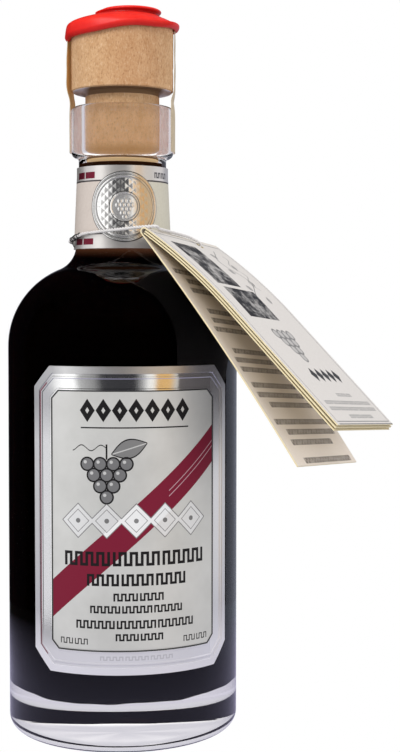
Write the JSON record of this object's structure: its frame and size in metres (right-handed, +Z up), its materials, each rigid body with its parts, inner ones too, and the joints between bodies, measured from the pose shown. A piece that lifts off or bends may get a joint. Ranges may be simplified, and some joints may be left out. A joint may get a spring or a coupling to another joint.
{
  "type": "vinegar bottle",
  "caption": "Clear glass bottle of dark vinegar: pale stopper under red sealing wax, neck band, framed front label and a folded card tag on a string.",
  "frame": {"origin": "centre of the base's flat underside", "axes": "+Z up along the bottle's axis, the front label faces -Y and the tag hangs towards +X"},
  "size_m": [0.0994, 0.0861, 0.1908],
  "materials": {
    "clear_glass": "polished, thick clear base",
    "dark_vinegar": "nearly black liquid",
    "pale_cork": "fine-grained pressed cork, matt",
    "red_wax": "soft gloss",
    "strip_paper": "tan paper tape",
    "band_paper": "pearly printed paper",
    "label_foil": "silver foil frame round a matt grey field",
    "tag_card": "smooth printed card",
    "tag_page": "cream paper",
    "white_thread": "twisted thread"
  },
  "bodies": {
    "root": {"glass_bottle": "clear_glass", "vinegar": "dark_vinegar", "stopper": "pale_cork", "wax_seal": "red_wax", "seal_strip_left": "strip_paper", "seal_strip_right": "strip_paper", "neck_band": "band_paper", "front_label": "label_foil", "tag_cover": "tag_card", "tag_page_upper": "tag_page", "tag_page_lower": "tag_page", "tag_string": "white_thread"}
  },
  "joints": []
}
